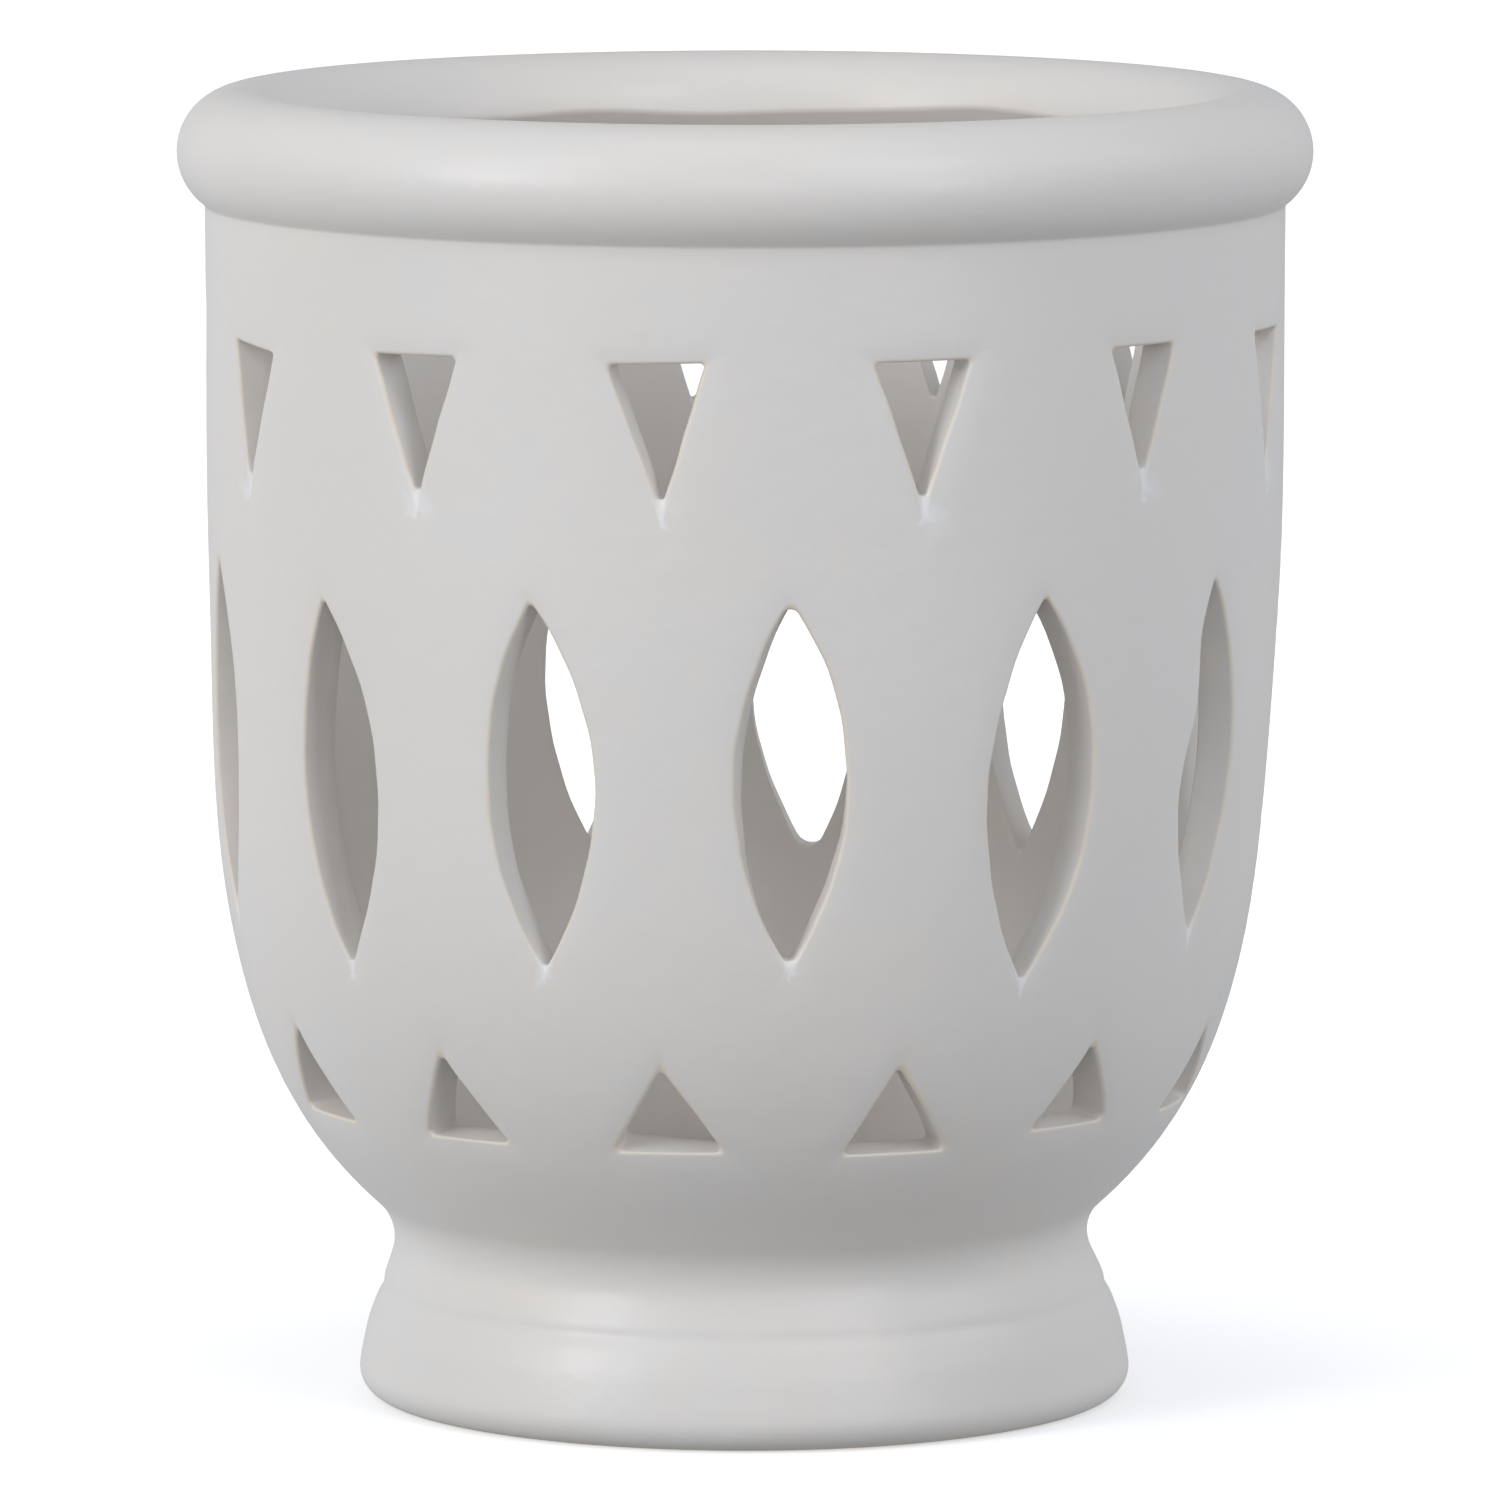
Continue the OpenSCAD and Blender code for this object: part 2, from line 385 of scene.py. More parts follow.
# How the windows at the front, and those seen through them, differ from the rest of their row. They are
# numbered from the front one.
CUTS = {
    ("upper", -2): dict(turn=0.2, wide=0.95, tall=0.99, rise=-0.8, lean=-4.0),
    ("upper", -1): dict(turn=0.3, wide=1.05, tall=1.0, rise=-0.2, lean=1.0),
    ("upper", 0): dict(turn=0.2, wide=1.02, tall=1.01, rise=-0.1, lean=1.5),
    ("upper", 1): dict(turn=0.3, wide=1.05, tall=1.0, rise=-0.1, lean=0.5),
    ("upper", 2): dict(turn=0.3, wide=0.95, tall=0.93, rise=0.4, lean=0.0),
    ("upper", 5): dict(turn=0.4),
    ("upper", 6): dict(turn=0.2),
    ("upper", 7): dict(turn=1.3),
    ("leaf", -5): dict(turn=-2.2, wide=0.88),
    ("leaf", -3): dict(turn=0.8, tall=0.98, rise=0.6, lean=0.0),
    ("leaf", -2): dict(turn=0.9, wide=1.02, tall=1.0, rise=-1.2, lean=3.0, belly=0.7),
    ("leaf", -1): dict(turn=0.2, wide=1.03, tall=1.0, rise=0.0, lean=1.7, belly=0.45),
    ("leaf", 0): dict(turn=-0.1, wide=1.02, tall=1.0, rise=0.4, lean=1.0, tip=0.8, roll=0.7),
    ("leaf", 1): dict(turn=0.2, wide=1.14, tall=1.05, rise=-0.8, lean=-0.8, belly=0.4),
    ("leaf", 2): dict(turn=-0.6, wide=0.98, tall=0.98, rise=0.2, lean=0.0, dent=1.9, dent_at=5.0),
    ("leaf", 4): dict(turn=-3.4, wide=0.84),
    ("leaf", 5): dict(turn=-0.2, wide=1.0, tall=1.0, rise=0.2, lean=-3.0),
    ("leaf", 6): dict(turn=1.0, wide=1.14, tall=1.08, rise=-0.4, lean=-3.0, tip=1.7),
    ("lower", -2): dict(turn=0.6, wide=1.12, tall=1.16, rise=0.1, lean=0.0),
    ("lower", -1): dict(turn=0.7, wide=1.02, tall=1.12, rise=-0.05, lean=0.0, skew=-0.3),
    ("lower", 0): dict(turn=0.4, wide=1.11, tall=1.1, rise=-0.05, lean=0.5, climb=0.85, roll=-0.35),
    ("lower", 1): dict(turn=1.2, wide=1.12, tall=1.15, rise=-0.3, lean=0.0, skew=-0.8),
    ("lower", 2): dict(turn=-1.0, wide=1.07, tall=1.07, rise=0.6, lean=0.0),
}


def all_windows():
    """The windows by row and number. The front one is 0, and the numbers to its left are below 0."""
    rng = np.random.default_rng(SEED)
    return {(row, index): Window(row, index, rng) for row in ROWS for index in SECTORS}


# ---------------------------------------------------------------- the vessel's mesh


class Shell:
    """Collects vertices and faces, and for each vertex how thin the glaze is and how much highlight is
    painted on it.
    """

    def __init__(self):
        self.points, self.faces, self.shades, self.count = [], [], [], 0

    def add(self, points, faces, shades=(0, 0)):
        self.points.append(points)
        self.shades.append(np.broadcast_to(shades, (len(points), 2)))
        self.faces += [tuple(int(i) + self.count for i in face) for face in faces]
        self.count += len(points)

    def add_grid(self, grid, shades=(0, 0)):
        """grid is rows x columns x 3, and each row is a closed ring."""
        rows, columns = grid.shape[:2]
        faces = []
        for i in range(rows - 1):
            for j in range(columns):
                k = (j + 1) % columns
                faces.append((i * columns + j, (i + 1) * columns + j, (i + 1) * columns + k, i * columns + k))
        self.add(grid.reshape(-1, 3), faces, np.broadcast_to(shades, (rows, columns, 2)).reshape(-1, 2))


def at(angle, r, z):
    """Points in space from angles in degrees, radii and heights."""
    turn = np.radians(angle)
    return np.stack(np.broadcast_arrays(r * np.sin(turn), -r * np.cos(turn), z), axis=-1)


def column_angles():
    return TRIANGLE_TURN - PITCH / 2 + np.arange(WINDOWS * COLUMNS) * PITCH / COLUMNS


def lip_wave(angle):
    """The trimmed inner lip isn't quite level."""
    turn = np.radians(angle)
    return 0.28 * np.sin(3 * turn + 0.6) + 0.2 * np.sin(7 * turn + 2.1) + 0.1 * np.sin(13 * turn)


def add_turned(shell, section, waviness=None):
    angles = column_angles()
    grid = at(angles[None, :], section[:, 0][:, None], section[:, 1][:, None]).copy()
    if waviness is not None:
        grid[:, :, 2] += waviness[:, None] * lip_wave(angles)[None, :]
    shell.add_grid(grid)


def steps_between(start, end, count):
    return [start + (end - start) * i / count for i in range(count)]


def seam(turn):
    """The line between two sectors, from top to bottom. It goes round the leaves, between the triangles."""
    beside = turn + LEAF_TURN - TRIANGLE_TURN
    corners = [
        (turn, BAND_TOP),
        (turn, SEAM_HIGH),
        (beside, SEAM_HIGH),
        (beside, SEAM_LOW),
        (turn, SEAM_LOW),
        (turn, BAND_LOW),
    ]
    points = []
    for a, b in zip(corners, corners[1:]):
        a, b = np.array(a), np.array(b)
        length = math.hypot((b[0] - a[0]) * math.radians(1) * BODY_R, b[1] - a[1])
        points += steps_between(a, b, max(1, round(length / STEP)))
    return points + [np.array(corners[-1])]


def inside_outline(points, outline):
    """Which points lie inside a closed outline."""
    x, y = points[:, 0][:, None], points[:, 1][:, None]
    x0, y0 = outline[:, 0][None, :], outline[:, 1][None, :]
    x1, y1 = np.roll(x0, -1, axis=1), np.roll(y0, -1, axis=1)
    crosses = (y0 > y) != (y1 > y)
    with np.errstate(divide="ignore", invalid="ignore"):
        at_x = x0 + (y - y0) * (x1 - x0) / (y1 - y0)
    return (np.sum(crosses & (x < at_x), axis=1) % 2) == 1


def far_from(points, others, distance):
    """Which points are further than distance from all the others."""
    apart = points[:, None, :] - others[None, :, :]
    return np.min(np.hypot(apart[:, :, 0], apart[:, :, 1]), axis=1) > distance


def sector_triangles(index, windows, grow, through):
    """The flat layout of one sector of the band, with its three windows left out.

    Gives (angle, height) points, faces, and how far each point sinks, as a share of SINK."""
    start = TRIANGLE_TURN + (index - 0.5) * PITCH
    left, right = seam(start), seam(start + PITCH)
    top = steps_between(left[0], right[0], COLUMNS)
    bottom = steps_between(right[-1], left[-1], COLUMNS)
    border = np.array(top + right[:-1] + bottom + left[:0:-1])
    outlines = [windows[row, index].outline(grow, 1.0, through) for row in ROWS]
    flat = np.array([math.radians(1) * FLAT_R, 1.0])
    loops = [border] + outlines
    rings, ring_sinks = [], []
    for row in ROWS:
        for i, (distance, sink) in enumerate(SINK_RINGS):
            ring = windows[row, index].outline(grow + distance, 1.0, through)[i % 2::2]
            clear = far_from(ring * flat, border * flat, 0.5)
            ring = ring[inside_outline(ring * flat, border * flat) & clear]
            rings.append(ring)
            ring_sinks += [sink] * len(ring)
    rings = np.concatenate(rings)
    low, high = border.min(axis=0) * flat, border.max(axis=0) * flat
    rows = np.arange(low[1] + STEP * 0.8, high[1], STEP * 0.87)
    across = np.arange(low[0], high[0], STEP)
    fill = np.array([(x + (i % 2) * STEP / 2, z) for i, z in enumerate(rows) for x in across])
    keep = inside_outline(fill, border * flat)
    keep &= far_from(fill, border * flat, STEP * 0.6) & far_from(fill, rings * flat, STEP * 0.55)
    for outline in outlines:
        keep &= ~inside_outline(fill, outline * flat) & far_from(fill, outline * flat, SINK_RINGS[-1][0])
    edges, first = [], 0
    for loop in loops:
        n = len(loop)
        edges += [(first + i, first + (i + 1) % n) for i in range(n)]
        first += n
    points = np.concatenate(loops + [rings, fill[keep] / flat])
    loop_sinks = [np.zeros(len(border))] + [np.ones(len(outline)) for outline in outlines]
    sink = np.concatenate(loop_sinks + [np.array(ring_sinks), np.zeros(int(keep.sum()))])
    _, _, faces, origin, _, _ = delaunay_2d_cdt([Vector(p) for p in points * flat], edges, [], 1, 1e-5)
    faces = np.array([[origin[i][0] for i in face] for face in faces])
    middles = (points * flat)[faces].mean(axis=1)
    open_places = np.any([inside_outline(middles, outline * flat) for outline in outlines], axis=0)
    return points, faces[~open_places], sink


def add_band(shell, windows):
    """The pierced band: its outer and inner faces, and the lining of each window."""
    for index in SECTORS:
        points, faces, sink = sector_triangles(index, windows, SOFT_OUT, 0)
        shell.add(at(points[:, 0], bowl_r(points[:, 1]) - SINK * sink, points[:, 1]), faces)
        points, faces, sink = sector_triangles(index, windows, SOFT_IN, 1)
        shell.add(at(points[:, 0], inner_r(points[:, 1]), points[:, 1]), faces[:, ::-1])
    for window in windows.values():
        add_lining(shell, window)


def add_lining(shell, window):
    """The cut faces of a window, with softened edges on both sides of the wall."""
    rings, shades = [], []
    count = len(window.outline(0, 0))
    for turn in np.linspace(0, math.pi / 2, 6):
        outline = window.outline(SOFT_OUT * (1 - math.sin(turn)), 1 - math.sin(turn))
        depth = SINK + SOFT_OUT * (1 - math.cos(turn))
        rings.append(at(outline[:, 0], bowl_r(outline[:, 1]) - depth, outline[:, 1]))
        # Painted highlight at the lower tip: strongest on the outer face of the softened edge, fading into
        # the cut.
        highlight_strength = math.cos(turn) ** 0.5 if turn < 1.5 else 0.3
        shades.append(np.stack([np.full(count, math.sin(2 * turn) ** 2), window.pool(highlight_strength)], axis=1))
    for share in (1 / 3, 2 / 3):
        outline = window.outline(0, 0, share)
        outer, inner = bowl_r(outline[:, 1]) - SINK - SOFT_OUT, inner_r(outline[:, 1]) + SOFT_IN
        rings.append(at(outline[:, 0], outer + (inner - outer) * share, outline[:, 1]))
        shades.append(np.zeros((count, 2)))
    for turn in np.linspace(math.pi / 2, 0, 4):
        outline = window.outline(SOFT_IN * (1 - math.sin(turn)), 1 - math.sin(turn), 1)
        depth = SOFT_IN * (1 - math.cos(turn))
        rings.append(at(outline[:, 0], inner_r(outline[:, 1]) + depth, outline[:, 1]))
        shades.append(np.zeros((count, 2)))
    shell.add_grid(np.array(rings), np.array(shades))


def hand_made(points):
    """The small unevenness of a cast that was handled while it was soft."""
    x, y, z = points[:, 0], points[:, 1], points[:, 2]
    turn = np.arctan2(x, -y)
    r = np.hypot(x, y)
    swell = 0.05 * np.sin(3 * turn + 0.04 * z) + 0.035 * np.sin(5 * turn - 0.07 * z + 1)
    swell = swell + 0.03 * np.sin(0.21 * z + 2 * turn)
    outside = smooth(10, 40, r)
    scale = 1 + swell * outside / np.maximum(r, 1)
    moved = points.copy()
    moved[:, 0] = x * scale - 0.45 * smooth(9, 17, z) * (1 - smooth(42, 72, z))
    moved[:, 1] = y * scale
    return moved


def fill_box(points, node_name):
    """Stretches points very slightly, so that they reach exactly as far as the CAD node they stand for."""
    low, high = (np.array(corner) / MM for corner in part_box(node_name))
    start, size = points.min(axis=0), np.ptp(points, axis=0)
    return low + (points - start) * (high - low) / size


def make_mesh(name, points, faces, shades=None):
    """A mesh object in metres from points in millimetres, with vertices that meet joined.

    shades gives for some names the value that each vertex has under that name."""
    mesh = bpy.data.meshes.new(name)
    mesh.from_pydata((points * MM).tolist(), [], faces)
    for shade, values in (shades or {}).items():
        layer = mesh.attributes.new(shade, "FLOAT", "POINT")
        layer.data.foreach_set("value", values.astype(np.float32))
    bm = bmesh.new()
    bm.from_mesh(mesh)
    bmesh.ops.remove_doubles(bm, verts=bm.verts, dist=2e-6)
    bmesh.ops.dissolve_degenerate(bm, dist=1e-7, edges=bm.edges)
    bmesh.ops.recalc_face_normals(bm, faces=bm.faces)
    bm.to_mesh(mesh)
    bm.free()
    mesh.shade_smooth()
    thing = bpy.data.objects.new(name, mesh)
    bpy.context.scene.collection.objects.link(thing)
    return thing


def make_vessel():
    shell = Shell()
    windows = all_windows()
    add_turned(shell, *rim_section())
    add_turned(shell, lower_outer_section())
    add_turned(shell, lower_inner_section())
    add_band(shell, windows)
    points = fill_box(hand_made(np.concatenate(shell.points)), "ceramic_body")
    thin, pool = np.concatenate(shell.shades).T
    vessel = make_mesh("glazed_vessel", points, shell.faces, {"thin": thin, "pool": pool})
    vessel.data.materials.append(glaze_material())
    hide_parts("ceramic_body")
    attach(vessel, "holder")
    return vessel


# ---------------------------------------------------------------- the tealight

# The tealight's main sizes, as the CAD model has them. HAIR keeps the wax off the sustainer and the wick.
CUP_R = 19.0
CUP_T = 0.3
CUP_H = 15.0
CUP_EDGE_R = 1.8
BEAD_R = 0.45
WAX_R = 18.4
DISC_R = 6.25
DISC_T = 0.3
NECK_R = 1.4
NECK_H = 3.5
WICK_R = 1.0
STRAND_PITCH = 7
HAIR = 0.02


def add_lathe(shell, section, count, shape=None):
    """A section turned round the axis. shape moves its radii and heights, given the angles in radians."""
    angles = np.arange(count) * 360 / count
    section = np.array(section, dtype=float)
    r, z = (np.repeat(section[:, k][:, None], count, axis=1) for k in (0, 1))
    if shape is not None:
        r, z = shape(np.radians(angles)[None, :], r, z)
    shell.add_grid(at(angles[None, :], r, z))


def finish_piece(shell, name, node_name, body, material):
    points = fill_box(np.concatenate(shell.points), node_name)
    piece = make_mesh(name, points, shell.faces)
    piece.data.materials.append(material)
    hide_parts(node_name)
    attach(piece, body)
    return piece


def cup_section():
    """The pressed cup's section above its base: from the axis underneath, over the rolled bead and back."""
    section = []
    for r in np.arange(0, 17.2, 0.4):
        raised = 0.12 * (1 - math.exp(-((r - 6.5) / 0.45) ** 2) - math.exp(-((r - 11) / 0.35) ** 2))
        section.append((r, raised * (1 - smooth(14, 15.2, r))))
    corner = (CUP_R - CUP_EDGE_R, CUP_EDGE_R)
    section += list(arc(corner, CUP_EDGE_R, -math.pi / 2, 0, 8))
    bead = (CUP_R - CUP_T + BEAD_R, CUP_H - BEAD_R)
    section += [(CUP_R, z) for z in np.linspace(2.6, 13.9, 16)]
    section += list(arc(bead, BEAD_R, math.radians(-109), math.pi, 18))
    section += [(CUP_R - CUP_T, z) for z in np.linspace(13.6, 2.6, 12)]
    section += list(arc(corner, CUP_EDGE_R - CUP_T, 0, -math.pi / 2, 7))
    section += [(r, CUP_T) for r in np.linspace(15.5, 0, 9)]
    return section


def cup_wrinkles(turn, r, z):
    """The faint flutes that deep drawing leaves in the cup's thin wall."""
    height = z - FLOOR_Z
    on_wall = smooth(1.2, 4, height) * (1 - smooth(10.5, 13.4, height)) * smooth(17, 18, r)
    flutes = 0.03 * np.sin(46 * turn) + 0.018 * np.sin(29 * turn + 1.3) + 0.012 * np.sin(17 * turn + 0.4)
    return r + flutes * on_wall, z


def make_cup():
    shell = Shell()
    add_lathe(shell, [(r, z + FLOOR_Z) for r, z in cup_section()], 368, cup_wrinkles)
    material = aluminium_material()
    return finish_piece(shell, "aluminium_cup", "tealight_cup", "tealight", material)


def wax_section():
    """The wax with its hollow for the sustainer and the wick, as a closed loop."""
    low, high = (corner[2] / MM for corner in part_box("tealight_wax"))
    disc_top = low + DISC_T + HAIR
    neck_top = low + DISC_T + NECK_H + HAIR
    section = [(WICK_R + HAIR, z) for z in np.linspace(high - 0.1, neck_top, 9)]
    section += [(NECK_R + HAIR, neck_top), (NECK_R + HAIR, neck_top - 1.5), (NECK_R + HAIR, disc_top + 0.45)]
    section += [(NECK_R + 0.45, disc_top), (DISC_R - 2, disc_top)]
    section += [(DISC_R + HAIR, disc_top), (DISC_R + HAIR, low)]
    section += [(r, low) for r in np.linspace(7.5, 15.5, 5)]
    section += list(arc((WAX_R - CUP_EDGE_R, low + CUP_EDGE_R), CUP_EDGE_R, -math.pi / 2, 0, 7))
    section += [(WAX_R, z) for z in np.linspace(low + 3, high - 0.7, 9)]
    section += list(arc((WAX_R - 0.35, high - 0.35), 0.35, 0, math.pi / 2, 5))
    section += [(r, high) for r in np.linspace(WAX_R - 0.7, 1.9, 40)]
    section += [(1.55, high), (1.3, high), (1.12, high)]
    return section + section[:1]


def wax_surface(turn, r, z):
    """The wax shrinks a little as it sets: lower between the cup and the wick, where it climbs again."""
    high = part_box("tealight_wax")[1][2] / MM
    on_top = smooth(high - 0.3, high, z)
    dip = 0.34 * smooth(1.1, 4.2, r) * (1 - smooth(14.5, 17.9, r)) + 0.05 * smooth(1.1, 1.6, r)
    uneven = 0.05 * np.sin(turn + 0.7 + 0.12 * r) + 0.03 * np.sin(3 * turn - 0.3 * r)
    ripple = 0.018 * np.sin(1.9 * r + 0.5 * np.sin(2 * turn))
    middle = smooth(1.6, 3.2, r) * (1 - smooth(16, 17.8, r))
    return r, z - on_top * (dip + (uneven + ripple) * middle)


def make_wax():
    shell = Shell()
    add_lathe(shell, wax_section(), 160, wax_surface)
    return finish_piece(shell, "candle_wax_body", "tealight_wax", "candle", wax_material())


def sustainer_section():
    """A stamped disc with a neck that grips the wick: from the axis below to the axis inside the neck."""
    low, high = (corner[2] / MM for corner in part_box("wick_sustainer"))
    top = low + DISC_T
    section = []
    for r in np.arange(0, 5.9, 0.25):
        section.append((r, low + 0.1 * math.exp(-((r - 3.9) / 0.3) ** 2) + 0.08 * (1 - smooth(1.2, 1.8, r))))
    section += list(arc((DISC_R - 0.15, low + 0.15), 0.15, -math.pi / 2, math.pi / 2, 6))
    section += [(r, top) for r in np.linspace(DISC_R - 0.5, NECK_R + 0.6, 8)]
    section += list(arc((NECK_R + 0.35, top + 0.35), 0.35, -math.pi / 2, -math.pi, 5))
    section += [(NECK_R, z) for z in np.linspace(top + 0.6, high - 0.35, 12)]
    section += list(arc((NECK_R - 0.2, high - 0.2), 0.2, 0, math.pi, 8))[:-1]
    section += [(WICK_R, z) for z in np.linspace(high - 0.35, top + 0.3, 10)]
    return section + [(WICK_R, top), (0.5, top), (0, top)]


def crimp(turn, r, z):
    """The neck is pinched from four sides, a third of the way up and near its top."""
    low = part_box("wick_sustainer")[0][2] / MM + DISC_T
    pinch = np.exp(-((z - low - 1.3) / 0.45) ** 2) + np.exp(-((z - low - 2.6) / 0.45) ** 2)
    outside = smooth(1.15, 1.35, r) * (1 - smooth(1.45, 1.7, r))
    return r - 0.13 * outside * pinch * np.maximum(0, np.cos(4 * turn)), z


def make_sustainer():
    shell = Shell()
    add_lathe(shell, sustainer_section(), 96, crimp)
    material = tinned_material()
    return finish_piece(shell, "sustainer_plate", "wick_sustainer", "candle", material)


def add_tube(shell, path, thickness, sides):
    """A round strand along a path, drawn to a point at both ends."""
    forward = np.gradient(path, axis=0)
    forward /= np.linalg.norm(forward, axis=1)[:, None]
    outward = np.cross(forward, (0.31, 0.95, 0.02))
    outward /= np.linalg.norm(outward, axis=1)[:, None]
    across = np.cross(forward, outward)
    turn = (np.arange(sides) * 2 * math.pi / sides)[None, :, None]
    along = np.arange(len(path))
    width = thickness * np.minimum(1, np.minimum(along, along[::-1]) / 2) ** 0.5
    rings = np.cos(turn) * outward[:, None, :] + np.sin(turn) * across[:, None, :]
    shell.add_grid(path[:, None, :] + width[:, None, None] * rings)


def make_wick():
    """Eight cotton strands round a core, four wound each way, that pass over and under each other."""
    shell = Shell()
    low, high = (corner[2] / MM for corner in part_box("wick"))
    chance = np.random.default_rng(SEED)
    for k in range(8):
        way = 1 if k % 2 == 0 else -1
        top = high - (0 if k == 3 else chance.uniform(0.05, 0.35))
        z = np.linspace(low, top, 110)
        wound = 360 * (z - low) / STRAND_PITCH
        turn = (k // 2) * 90 + (0 if way == 1 else 45) + way * wound
        weave = 0.17 * way * np.sin(2 * math.pi * wound / 90)
        add_tube(shell, at(turn, 0.6 + weave, z), 0.225, 8)
    z = np.linspace(low, high - 0.3, 40)
    add_tube(shell, at(0 * z, 0 * z, z), 0.45, 10)
    return finish_piece(shell, "braided_wick", "wick", "candle", cotton_material())


# ---------------------------------------------------------------- materials


def new_material(name):
    material = bpy.data.materials.new(name)
    material.use_nodes = True
    tree = material.node_tree
    tree.nodes.clear()
    output = tree.nodes.new("ShaderNodeOutputMaterial")
    shader = tree.nodes.new("ShaderNodeBsdfPrincipled")
    tree.links.new(shader.outputs["BSDF"], output.inputs["Surface"])
    return material, tree, shader


def node(tree, kind, **settings):
    """A new node. Settings that name an input set or link it, and the others set the node's properties."""
    made = tree.nodes.new(kind)
    for key, value in settings.items():
        if key in made.inputs:
            plug(tree, made.inputs[key], value)
        else:
            setattr(made, key, value)
    return made


def plug(tree, socket, value):
    if isinstance(value, bpy.types.NodeSocket):
        tree.links.new(value, socket)
    else:
        socket.default_value = value


def noise(tree, scale, detail=2.0, roughness=0.5):
    place = node(tree, "ShaderNodeTexCoord").outputs["Object"]
    made = node(tree, "ShaderNodeTexNoise", Vector=place, Scale=scale, Detail=detail, Roughness=roughness)
    return made.outputs["Fac"]


def remap(tree, value, low, high, to_low, to_high):
    made = node(tree, "ShaderNodeMapRange")
    for index, setting in enumerate((value, low, high, to_low, to_high)):
        plug(tree, made.inputs[index], setting)
    return made.outputs["Result"]


def calculate(tree, operation, first, second):
    made = node(tree, "ShaderNodeMath", operation=operation)
    plug(tree, made.inputs[0], first)
    plug(tree, made.inputs[1], second)
    return made.outputs[0]


def blend(tree, share, first, second):
    made = node(tree, "ShaderNodeMix", data_type="RGBA")
    plug(tree, made.inputs["Factor"], share)
    plug(tree, made.inputs[6], first)
    plug(tree, made.inputs[7], second)
    return made.outputs[2]


def bump(tree, height, strength, distance, normal=None):
    made = node(tree, "ShaderNodeBump", Height=height, Strength=strength, Distance=distance)
    if normal is not None:
        plug(tree, made.inputs["Normal"], normal)
    return made.outputs["Normal"]


GLAZE = (0.785, 0.742, 0.69, 1)
GLAZE_WARM = (0.80, 0.735, 0.655, 1)
GLAZE_COOL = (0.765, 0.735, 0.695, 1)
GLAZE_THIN = (0.83, 0.71, 0.55, 1)
# A pale grey painted as a highlight at the windows' lower tips.
GLAZE_TIP_HIGHLIGHT = (0.86, 0.86, 0.86, 1)
# Painted light colour for the inside of the wall near the top and the bottom.
GLAZE_PAINTED_LIGHT = (0.875, 0.84, 0.80, 1)
BISQUE = (0.74, 0.68, 0.60, 1)


def glaze_material():
    """Satin off-white glaze, warmer and thinner over the cut edges, with a painted highlight at the windows'
    lower tips and painted light inside near the top and the bottom, and bare clay on the standing ring.
    """
    material, tree, shader = new_material("satin_glaze")
    cloud = remap(tree, noise(tree, 38, 3), 0.35, 0.65, 0, 1)
    colour = blend(tree, cloud, GLAZE_COOL, GLAZE)
    drift = remap(tree, noise(tree, 120, 4, 0.6), 0.45, 0.75, 0, 0.35)
    colour = blend(tree, drift, colour, GLAZE_WARM)
    edge = node(tree, "ShaderNodeAttribute", attribute_name="thin").outputs["Fac"]
    worn = remap(tree, noise(tree, 260, 2), 0.3, 0.7, 0.35, 0.9)
    colour = blend(tree, calculate(tree, "MULTIPLY", edge, worn), colour, GLAZE_THIN)
    # Painted highlight: the windows' lower tips are painted pale grey, where they would catch the light.
    pool = node(tree, "ShaderNodeAttribute", attribute_name="pool").outputs["Fac"]
    colour = blend(tree, pool, colour, GLAZE_TIP_HIGHLIGHT)
    spot = node(tree, "ShaderNodeTexCoord").outputs
    place = node(tree, "ShaderNodeSeparateXYZ", Vector=spot["Object"]).outputs
    across = node(tree, "ShaderNodeCombineXYZ", X=place["X"], Y=place["Y"]).outputs[0]
    facing = node(tree, "ShaderNodeVectorMath", operation="DOT_PRODUCT")
    plug(tree, facing.inputs[0], across)
    plug(tree, facing.inputs[1], spot["Normal"])
    # Painted light: inside, the wall is painted paler near the top and the bottom, where more light reaches
    # it.
    above = remap(tree, place["Z"], 0.076, 0.088, 0, 1)
    high = calculate(tree, "MULTIPLY", above, remap(tree, place["Z"], 0.108, 0.101, 0, 1))
    ends = calculate(tree, "MAXIMUM", high, remap(tree, place["Z"], 0.044, 0.034, 0, 1))
    inside = remap(tree, facing.outputs["Value"], -0.01, -0.03, 0, 1)
    colour = blend(tree, calculate(tree, "MULTIPLY", ends, inside), colour, GLAZE_PAINTED_LIGHT)
    bare = remap(tree, place["Z"], 0.0003, 0.0009, 1, 0)
    colour = blend(tree, bare, colour, BISQUE)
    plug(tree, shader.inputs["Base Color"], colour)
    satin = remap(tree, noise(tree, 90, 3), 0.3, 0.7, 0.33, 0.42)
    dry = remap(tree, bare, 0, 1, 0, 0.85)
    plug(tree, shader.inputs["Roughness"], calculate(tree, "MAXIMUM", satin, dry))
    shader.inputs["IOR"].default_value = 1.5
    skin = bump(tree, noise(tree, 330, 3, 0.55), 0.2, 0.0004)
    skin = bump(tree, noise(tree, 2600, 2), 0.06, 0.00006, skin)
    plug(tree, shader.inputs["Normal"], skin)
    return material


